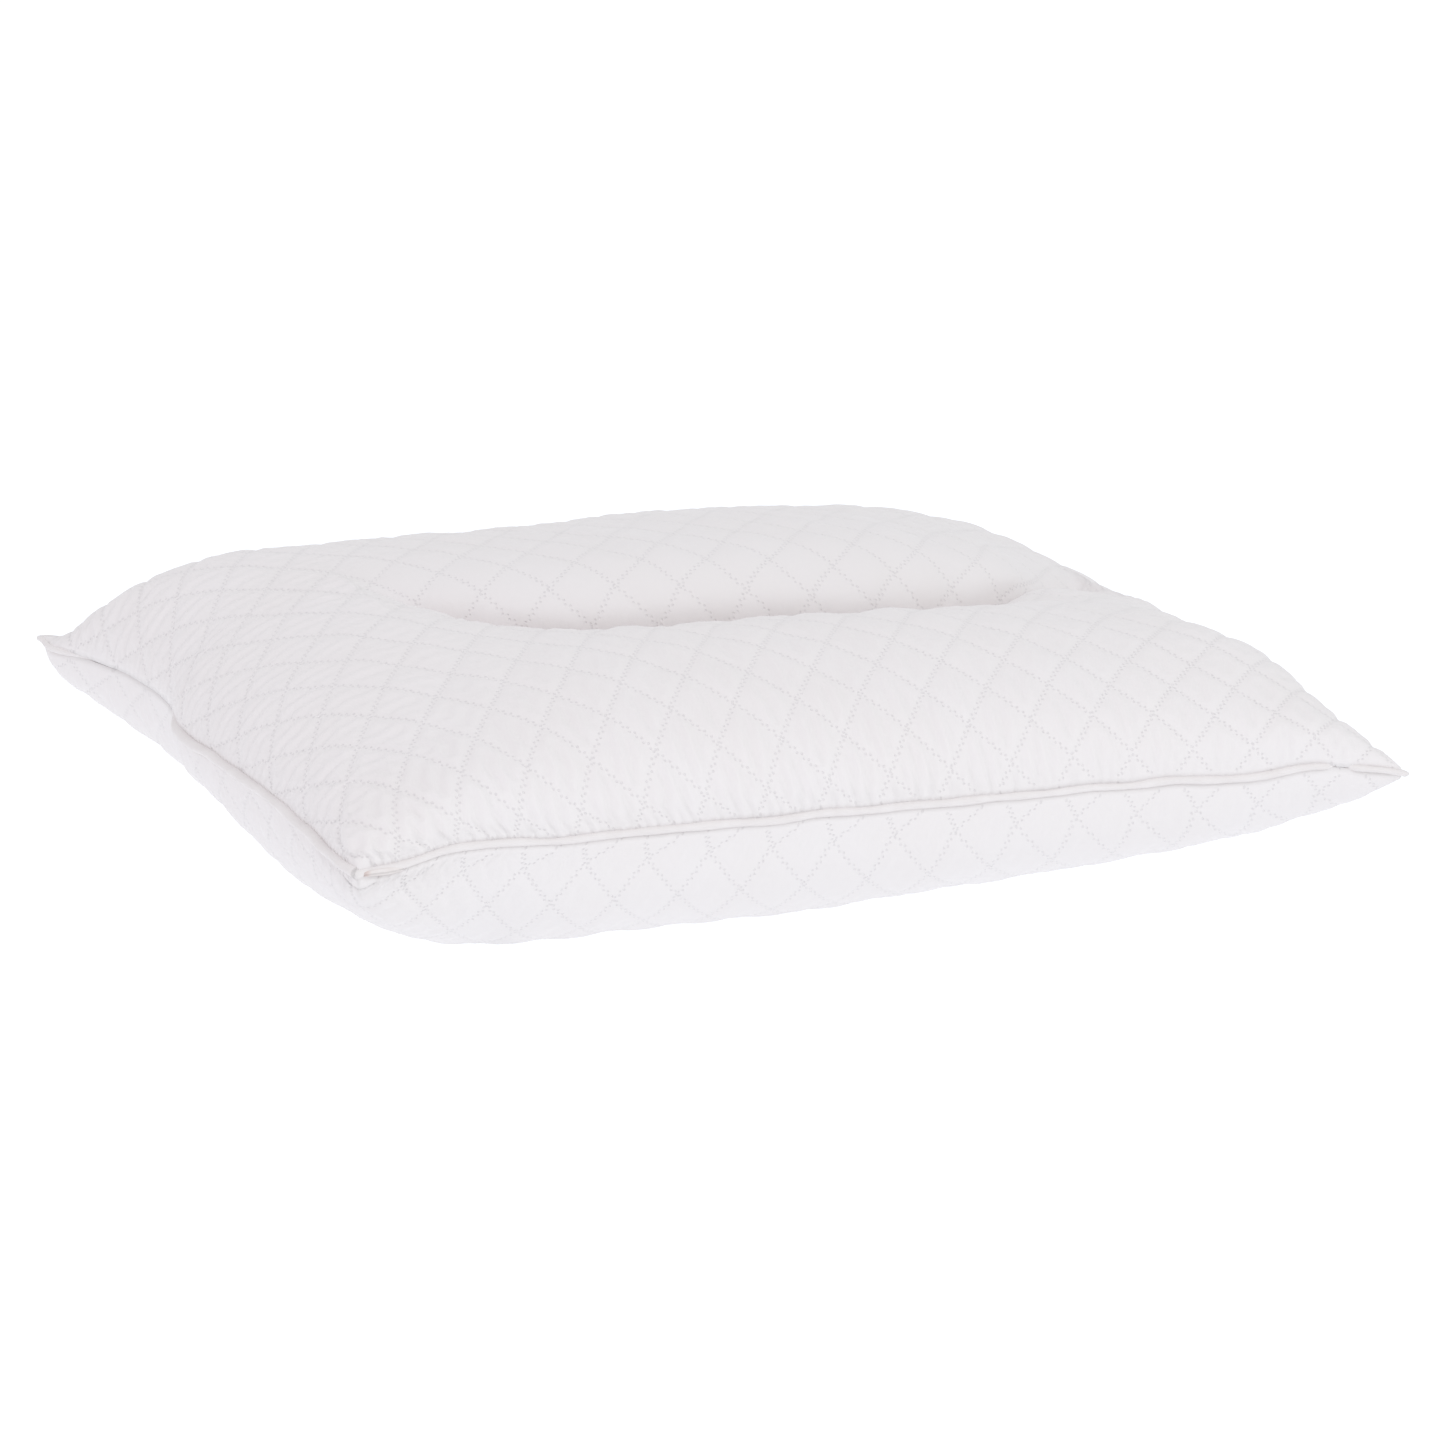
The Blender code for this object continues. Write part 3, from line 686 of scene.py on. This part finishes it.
def fibre_fill(name, side, seed):
    """Loose fibre in the chamber on one side of the divider."""
    nu, nv = FILL_CELLS_U + 1, FILL_CELLS_V + 1
    share_u = np.linspace(-FILL_SHARE, FILL_SHARE, nu)
    x = share_u * HALF_W
    _, middle = locate(x, crease_y(x) + side * FILL_TO_CREASE)
    at_seam, at_crease = np.full((nu, 1), side * FILL_SHARE), middle[:, None]
    start, end = (at_seam, at_crease) if side < 0 else (at_crease, at_seam)
    v = start + (end - start) * np.linspace(0, 1, nv)
    u = np.broadcast_to(share_u[:, None], v.shape)
    top, top_depth = depth_below(top_shape, u, v, FILL_DEPTH)
    low, low_depth = depth_below(bottom_shape, u, v, FILL_DEPTH)
    fluff = FLUFF * waves(u * HALF_W, v * HALF_D, FLUFF_SIZE, seed)
    upper, lower = top.copy(), low.copy()
    upper[..., 2] -= top_depth + fluff
    lower[..., 2] += low_depth + fluff
    lower[..., :2] = upper[..., :2]
    middle_z = (upper[..., 2] + lower[..., 2]) / 2
    upper[..., 2] = np.maximum(upper[..., 2], middle_z + FILL_LEAST)
    lower[..., 2] = np.minimum(lower[..., 2], middle_z - FILL_LEAST)
    faces = quads(nu, nv).tolist() + quads(nu, nv, nu * nv)[:, ::-1].tolist()
    above, below = border(nu, nv), border(nu, nv, nu * nv)
    for k in range(len(above)):
        n = (k + 1) % len(above)
        faces.append((int(below[k]), int(below[n]), int(above[n]), int(above[k])))
    piece = add_mesh(name, np.concatenate([upper.reshape(-1, 3), lower.reshape(-1, 3)]), faces)
    set_cloth(piece, np.tile(np.stack([u * HALF_W, v * HALF_D], axis=-1).reshape(-1, 2), (2, 1)))
    return piece


def crease_line(spacing, reach):
    """u and v of points along the crease, with the direction across it."""
    x = np.arange(-CREASE_LEFT * reach, CREASE_RIGHT * reach, spacing)
    y = crease_y(x)
    u, v = locate(x, y)
    slope = np.gradient(y, x)
    across = np.stack([-slope, np.ones_like(x), 0 * x], axis=-1)
    return u, v, across / np.linalg.norm(across, axis=-1, keepdims=True)


def divider():
    """The strip sewn to both panels that holds the crease down, hemmed at its top and foot."""
    u, v, across = crease_line(DIVIDER_STEP, DIVIDER_REACH)
    top, low = top_shape(u, v), bottom_shape(u, v)
    high = top[:, 2] - PANEL_T - DIVIDER_FREE_TOP
    foot = low[:, 2] + PANEL_T + DIVIDER_FREE_FOOT
    left = [  # one side of its section, upwards: (across, share of the height, lift)
        (-HEM_HALF, 0, 0),
        (-HEM_HALF, 0, HEM_HEIGHT),
        (-WEB_HALF, 0, HEM_HEIGHT),
        (-WEB_HALF, 1, -HEM_HEIGHT),
        (-HEM_HALF, 1, -HEM_HEIGHT),
        (-HEM_HALF, 1, 0),
    ]
    right = [(-offset, share, lift) for offset, share, lift in left[::-1]]
    offset, share, lift = np.array((left + right)[::-1]).T
    heights = foot[:, None] + (high - foot)[:, None] * share + lift
    profiles = np.stack(np.broadcast_arrays(offset, heights), axis=-1)
    path = np.stack([top[:, 0], top[:, 1], 0 * u], axis=-1)
    return tube("divider_strip", path, across, profiles, profiles[0, :, 1])


def stitches(name, shape, outward):
    """Lockstitches along the crease: short runs of thread, rounded at their ends and bowed off the cloth."""
    u, v, across = crease_line(STITCH_PITCH, SEAM_REACH)
    centre = shape(u, v)
    points, faces = [], []
    sides, rings = 8, 7
    for i in range(len(centre) - 1):
        along = centre[i + 1] - centre[i]
        along = along / np.linalg.norm(along)
        start = len(points)
        for r in range(rings):
            share = r / (rings - 1)
            swollen = max(0.25, math.sin(math.pi * share)) ** 0.5
            middle = centre[i] + along * STITCH * (share - 0.5)
            middle[2] += outward * (STITCH_LIFT + STITCH_BOW * math.sin(math.pi * share))
            middle[2] = max(middle[2], THREAD_R)  # not into the bed
            for k in range(sides):
                a = 2 * math.pi * k / sides
                ring = across[i] * math.cos(a) + np.array([0, 0, 1]) * math.sin(a)
                points.append(middle + ring * THREAD_R * swollen)
        for r in range(rings - 1):
            for k in range(sides):
                n = (k + 1) % sides
                a, b = start + r * sides, start + (r + 1) * sides
                faces.append((a + k, b + k, b + n, a + n))
        faces.append(tuple(range(start, start + sides)))
        faces.append(tuple(range(start + (rings - 1) * sides, start + rings * sides))[::-1])
    piece = add_mesh(name, points, faces)
    set_cloth(piece, np.array(points)[:, :2])
    return piece


# Materials

WELD_PITCH, WELD_ROW = 0.0042, 0.0007  # dots along a row, and each row to the line between the two
DOT_INNER, DOT_OUTER = 0.0003, 0.0008  # a weld dot is full inside the first radius, gone at the second
DOT_DARK, DOT_GLOSS, DOT_DEPTH = 0.28, 0.22, 0.00022
WEAVE, RIBS, TWIST = 0.0007, 0.0009, 0.0006  # thread spacing of the cloth, the tape and the sewing thread

CLOTH_DULL, CLOTH_CLEAN, WELDED = (0.807, 0.767, 0.757), (0.813, 0.776, 0.770), (0.63, 0.59, 0.605)
TAPE_DULL, TAPE_CLEAN = (0.780, 0.735, 0.722), (0.808, 0.767, 0.755)
# the brown of the folded end is painted shade: the warm shadow in the gap where the tape's ends fold
FOLD_DULL, FOLD_CLEAN, FOLD_SHADE_BROWN = (0.76, 0.70, 0.675), (0.79, 0.74, 0.72), (0.66, 0.53, 0.49)
NONWOVEN_THIN, NONWOVEN_THICK = (0.70, 0.71, 0.72), (0.80, 0.80, 0.81)
# THREAD_DARK is painted shade, for the grooves between the thread's twisted plies
THREAD_DARK, THREAD_LIGHT = (0.74, 0.71, 0.69), (0.82, 0.79, 0.77)
FIBRE_DARK, FIBRE_LIGHT = (0.78, 0.78, 0.78), (0.88, 0.88, 0.87)


class Shade:
    """A material's node tree, with one call for each kind of node used here."""

    def __init__(self, name):
        self.material = bpy.data.materials.new(name)
        self.material.use_nodes = True
        self.tree = self.material.node_tree
        self.surface = self.tree.nodes["Principled BSDF"]
        self.cloth = self.node("ShaderNodeAttribute", attribute_name="cloth").outputs["Vector"]

    def node(self, kind, **settings):
        made = self.tree.nodes.new(kind)
        for setting, value in settings.items():
            setattr(made, setting, value)
        return made

    def feed(self, socket, value):
        if isinstance(value, bpy.types.NodeSocket):
            self.tree.links.new(value, socket)
        else:
            socket.default_value = value

    def math(self, operation, *values):
        made = self.node("ShaderNodeMath", operation=operation)
        for socket, value in zip(made.inputs, values):
            self.feed(socket, value)
        return made.outputs[0]

    def split(self, vector):
        made = self.node("ShaderNodeSeparateXYZ")
        self.feed(made.inputs[0], vector)
        return made.outputs

    def remap(self, value, low, high, to_low, to_high):
        made = self.node("ShaderNodeMapRange", interpolation_type="SMOOTHSTEP")
        for socket, setting in zip(made.inputs, (value, low, high, to_low, to_high)):
            self.feed(socket, setting)
        return made.outputs[0]

    def noise(self, size, detail=3.0, stretch=(1, 1, 1)):
        """Noise of -1..1 on the flat cloth whose lumps are 'size' metres across."""
        place = self.node("ShaderNodeMapping")
        place.inputs["Scale"].default_value = stretch
        self.feed(place.inputs["Vector"], self.cloth)
        made = self.node("ShaderNodeTexNoise")
        made.inputs["Scale"].default_value = 1 / size
        made.inputs["Detail"].default_value = detail
        self.feed(made.inputs["Vector"], place.outputs[0])
        return self.math("MULTIPLY_ADD", made.outputs["Fac"], 2.0, -1.0)

    def mix(self, share, first, second):
        made = self.node("ShaderNodeMix", data_type="RGBA")
        self.feed(made.inputs["Factor"], share)
        self.feed(made.inputs["A"], first if not isinstance(first, tuple) else (*first, 1.0))
        self.feed(made.inputs["B"], second if not isinstance(second, tuple) else (*second, 1.0))
        return made.outputs["Result"]

    def finish(self, colour, roughness, height, sheen=0.0, sheen_roughness=0.4):
        self.feed(self.surface.inputs["Base Color"], colour)
        self.feed(self.surface.inputs["Roughness"], roughness)
        self.surface.inputs["Sheen Weight"].default_value = sheen
        self.surface.inputs["Sheen Roughness"].default_value = sheen_roughness
        self.surface.inputs["Specular IOR Level"].default_value = 0.3
        bumped = self.node("ShaderNodeBump")
        bumped.inputs["Distance"].default_value = 1.0
        self.feed(bumped.inputs["Height"], height)
        self.feed(self.surface.inputs["Normal"], bumped.outputs["Normal"])
        return self.material

    def threads(self, along, across, size):
        """Plain weave of -1..1: warp and weft passing over each other."""
        turn = 2 * math.pi / size
        warp = self.math("SINE", self.math("MULTIPLY", along, turn))
        weft = self.math("SINE", self.math("MULTIPLY", across, turn))
        return self.math("MULTIPLY", warp, weft)

    def weld_dots(self, number, along):
        """Two staggered rows of dots along the weld lines where 'number' is whole."""
        pitch = 1 / math.hypot(1 / LATTICE_X, 1 / LATTICE_Y)
        off = self.math("MULTIPLY", self.math("SUBTRACT", number, self.math("ROUND", number)), pitch)
        row = self.math("SUBTRACT", self.math("ABSOLUTE", off), WELD_ROW)
        stagger = self.math("MULTIPLY", self.math("GREATER_THAN", off, 0.0), 0.5)
        place = self.math("ADD", self.math("DIVIDE", along, WELD_PITCH), stagger)
        step = self.math("MULTIPLY", self.math("SUBTRACT", place, self.math("ROUND", place)), WELD_PITCH)
        squares = self.math("ADD", self.math("MULTIPLY", row, row), self.math("MULTIPLY", step, step))
        return self.remap(self.math("SQRT", squares), DOT_INNER, DOT_OUTER, 1.0, 0.0)


def microfibre():
    """Brushed white cloth, pressed thin and a little glossy in the rows of weld dots."""
    m = Shade("microfibre")
    s, t, _ = m.split(m.cloth)
    across, along = m.math("DIVIDE", s, LATTICE_X), m.math("DIVIDE", t, LATTICE_Y)
    length = math.hypot(LATTICE_X, LATTICE_Y)
    s_part, t_part = m.math("MULTIPLY", s, LATTICE_X / length), m.math("MULTIPLY", t, LATTICE_Y / length)
    rising = m.weld_dots(m.math("ADD", across, along), m.math("SUBTRACT", s_part, t_part))
    falling = m.weld_dots(m.math("SUBTRACT", across, along), m.math("ADD", s_part, t_part))
    dots = m.math("MAXIMUM", rising, falling)
    tint = m.remap(m.noise(0.07), -0.6, 0.6, 0.0, 1.0)
    colour = m.mix(m.math("MULTIPLY", dots, DOT_DARK), m.mix(tint, CLOTH_DULL, CLOTH_CLEAN), WELDED)
    fuzz, crinkle = m.noise(0.0012, 2.0), m.noise(0.006, 3.0, (1.0, 0.45, 1.0))
    rough = m.math("MULTIPLY_ADD", fuzz, 0.06, 0.60)
    rough = m.math("MULTIPLY_ADD", dots, -DOT_GLOSS, rough)
    height = m.math("MULTIPLY", m.threads(s, t, WEAVE), 0.00002)
    height = m.math("MULTIPLY_ADD", fuzz, 0.00003, height)
    height = m.math("MULTIPLY_ADD", crinkle, 0.00015, height)
    height = m.math("MULTIPLY_ADD", dots, -DOT_DEPTH, height)
    return m.finish(colour, rough, height, sheen=0.15)


def piping_tape():
    """Warm white tape with fine ribs across it."""
    m = Shade("piping")
    run, around, _ = m.split(m.cloth)
    ribs = m.threads(run, around, RIBS)
    worn = m.remap(m.noise(0.011), -0.5, 0.5, 0.0, 1.0)
    colour = m.mix(worn, TAPE_DULL, TAPE_CLEAN)
    height = m.math("MULTIPLY", ribs, 0.00003)
    height = m.math("MULTIPLY_ADD", m.noise(0.004), 0.00012, height)
    rough = m.math("MULTIPLY_ADD", m.noise(0.0015), 0.08, 0.50)
    return m.finish(colour, rough, height, sheen=0.1)


def folded_end():
    """The tape's folded end: the same tape, with warm brown shade painted over its first few millimetres, in
    the fold's gap by the corner.
    """
    m = Shade("piping_fold")
    run, around, _ = m.split(m.cloth)
    ribs = m.threads(run, around, RIBS)
    # painted shade: brown over the tab's first few millimetres, for the warm shadow in the fold's gap
    edge = m.remap(run, 0.0010, 0.0045, 1.0, 0.0)
    cream = m.mix(m.remap(m.noise(0.006), -0.5, 0.5, 0.0, 1.0), FOLD_DULL, FOLD_CLEAN)
    colour = m.mix(m.math("MULTIPLY", edge, 0.8), cream, FOLD_SHADE_BROWN)
    height = m.math("MULTIPLY_ADD", m.noise(0.003), 0.00010, m.math("MULTIPLY", ribs, 0.00003))
    return m.finish(colour, m.math("MULTIPLY_ADD", ribs, 0.05, 0.5), height, sheen=0.1)


def nonwoven():
    """Bonded fibre, cloudy where it is thin."""
    m = Shade("backing")
    flakes = m.noise(0.0025, 4.0)
    colour = m.mix(m.remap(flakes, -0.5, 0.5, 0.0, 1.0), NONWOVEN_THIN, NONWOVEN_THICK)
    return m.finish(colour, m.math("MULTIPLY_ADD", flakes, 0.08, 0.85), m.math("MULTIPLY", flakes, 0.0001))


def sewing_thread():
    """Twisted white thread, with the shade between its plies painted darker along the twist."""
    m = Shade("thread")
    x, y, _ = m.split(m.cloth)
    twist = m.threads(m.math("ADD", x, y), m.math("SUBTRACT", x, y), TWIST)
    # painted shade: THREAD_DARK where the twist pattern is low, in the grooves between the plies
    colour = m.mix(m.remap(twist, -1.0, 1.0, 0.0, 1.0), THREAD_DARK, THREAD_LIGHT)
    return m.finish(colour, m.math("MULTIPLY_ADD", twist, 0.05, 0.45), m.math("MULTIPLY", twist, 0.00004))


def fibre():
    """Loose hollow fibre in tangled strands."""
    m = Shade("fibre_fill")
    strands = m.noise(0.004, 5.0, (1.0, 0.2, 1.0))
    colour = m.mix(m.remap(strands, -0.5, 0.5, 0.0, 1.0), FIBRE_DARK, FIBRE_LIGHT)
    rough = m.math("MULTIPLY_ADD", strands, 0.05, 0.95)
    return m.finish(colour, rough, m.math("MULTIPLY", strands, 0.0012))


# Camera, floor and light

AZIMUTH, ELEVATION, ROLL = math.radians(-22.7), math.radians(15.3), math.radians(1.02)
DISTANCE, LENS, SENSOR = 5.0, 232.5, 36.0
AIM_RIGHT, AIM_DOWN = 0.0073, 0.0093  # from the middle of the seam plane to the middle of the picture
FLOOR_Z, FLOOR_HALF = -0.0003, 30.0  # a little under the cloth that lies flat on it
FLOOR_COLOUR, FLOOR_GLOW = (0.15, 0.15, 0.15, 1), (0.925, 0.955, 1.0, 1)
SKY_COLOUR, SKY_STRENGTH = (0.955, 0.98, 1.0, 1), 0.857
LIT_POINT = Vector((0, 0, 0.05))
LIGHTS = {  # place, size, watts, colour
    "key": ((0.9, -2.9, 3.0), 2.6, 35, (0.935, 0.965, 1.0)),
    "fill": ((-3.0, -0.6, 2.0), 3.0, 9, (1.0, 0.78, 1.0)),
}


def add_camera():
    """The photo's view, from the near left corner with a long lens."""
    flat = math.cos(ELEVATION)
    back = Vector((math.sin(AZIMUTH) * flat, -math.cos(AZIMUTH) * flat, math.sin(ELEVATION)))
    level = Vector((math.cos(AZIMUTH), math.sin(AZIMUTH), 0))
    upright = back.cross(level)
    right = level * math.cos(ROLL) + upright * math.sin(ROLL)
    up = upright * math.cos(ROLL) - level * math.sin(ROLL)
    camera = bpy.data.objects.new("camera", bpy.data.cameras.new("camera"))
    camera.data.lens, camera.data.sensor_width = LENS, SENSOR
    camera.data.clip_end = 100
    place = Vector((0, 0, SEAM_Z)) + back * DISTANCE + right * AIM_RIGHT - up * AIM_DOWN
    camera.matrix_world = Matrix((right, up, back)).transposed().to_4x4()
    camera.location = place
    bpy.context.scene.collection.objects.link(camera)
    bpy.context.scene.camera = camera


def add_light(name, place, size, watts, colour):
    light = bpy.data.objects.new(name, bpy.data.lights.new(name, "AREA"))
    light.data.shape = "DISK"
    light.data.size = size
    light.data.energy = watts
    light.data.color = colour
    light.location = place
    light.rotation_euler = (LIT_POINT - Vector(place)).to_track_quat("-Z", "Y").to_euler()
    bpy.context.scene.collection.objects.link(light)


def add_stage():
    """A glowing paper floor, a pale sky and two soft lights."""
    corners = [(x * FLOOR_HALF, y * FLOOR_HALF, FLOOR_Z) for x, y in ((-1, -1), (1, -1), (1, 1), (-1, 1))]
    floor = add_mesh("floor", corners, [(0, 1, 2, 3)], smooth=False)
    paper = bpy.data.materials.new("white_paper")
    paper.use_nodes = True
    shader = paper.node_tree.nodes["Principled BSDF"]
    shader.inputs["Base Color"].default_value = FLOOR_COLOUR
    shader.inputs["Roughness"].default_value = 0.9
    shader.inputs["Emission Color"].default_value = FLOOR_GLOW
    shader.inputs["Emission Strength"].default_value = 1.0
    floor.data.materials.append(paper)
    world = bpy.data.worlds.new("studio")
    world.use_nodes = True
    world.node_tree.nodes["Background"].inputs["Color"].default_value = SKY_COLOUR
    world.node_tree.nodes["Background"].inputs["Strength"].default_value = SKY_STRENGTH
    bpy.context.scene.world = world
    bpy.context.scene.view_settings.view_transform = "Standard"
    for name, settings in LIGHTS.items():
        add_light(name, *settings)


# The pieces


def dress(piece, material, slot, *nodes):
    """Gives a piece its material, hangs it under the root body, and hides the nodes of the frame that it
    stands for. The slot is not used.
    """
    piece.data.materials.append(material)
    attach(piece, "root")
    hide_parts(*nodes)


def main():
    cloth, tape, thread, filling = microfibre(), piping_tape(), sewing_thread(), fibre()
    outer, flat = quilted(top_shape, 1, top_spare, TOP_QUILT, TOP_PUFF, seed=31)
    top = panel("quilted_top", outer, flat, 1, thin=0.85)
    dress(top, cloth, "microfibre", "top_face_fabric", "top_wadding", "top_backing")
    outer, flat = quilted(bottom_shape, -1, bottom_spare, BOTTOM_QUILT, BOTTOM_PUFF, seed=47)
    bottom = panel("quilted_bottom", outer, flat, -1)
    dress(bottom, cloth, "microfibre", "bottom_face_fabric", "bottom_wadding", "bottom_backing")
    in_seam = ("piping_tape", "piping_cord", "perimeter_seam_thread", "closing_seam_thread")
    dress(piping(), tape, "piping", *in_seam)
    dress(piping_overlap(), folded_end(), "piping", "piping_end_tab")
    dress(fibre_fill("neck_fibre", -1, 61), filling, "fibre_fill", "neck_fill")
    dress(fibre_fill("head_fibre", 1, 62), filling, "fibre_fill", "head_fill")
    dress(divider(), nonwoven(), "backing", "crease_divider")
    dress(stitches("crease_stitches", top_shape, 1), thread, "thread", "crease_seam_thread")
    dress(stitches("foot_stitches", bottom_shape, -1), thread, "thread", "foot_seam_thread")
    add_stage()
    add_camera()


main()
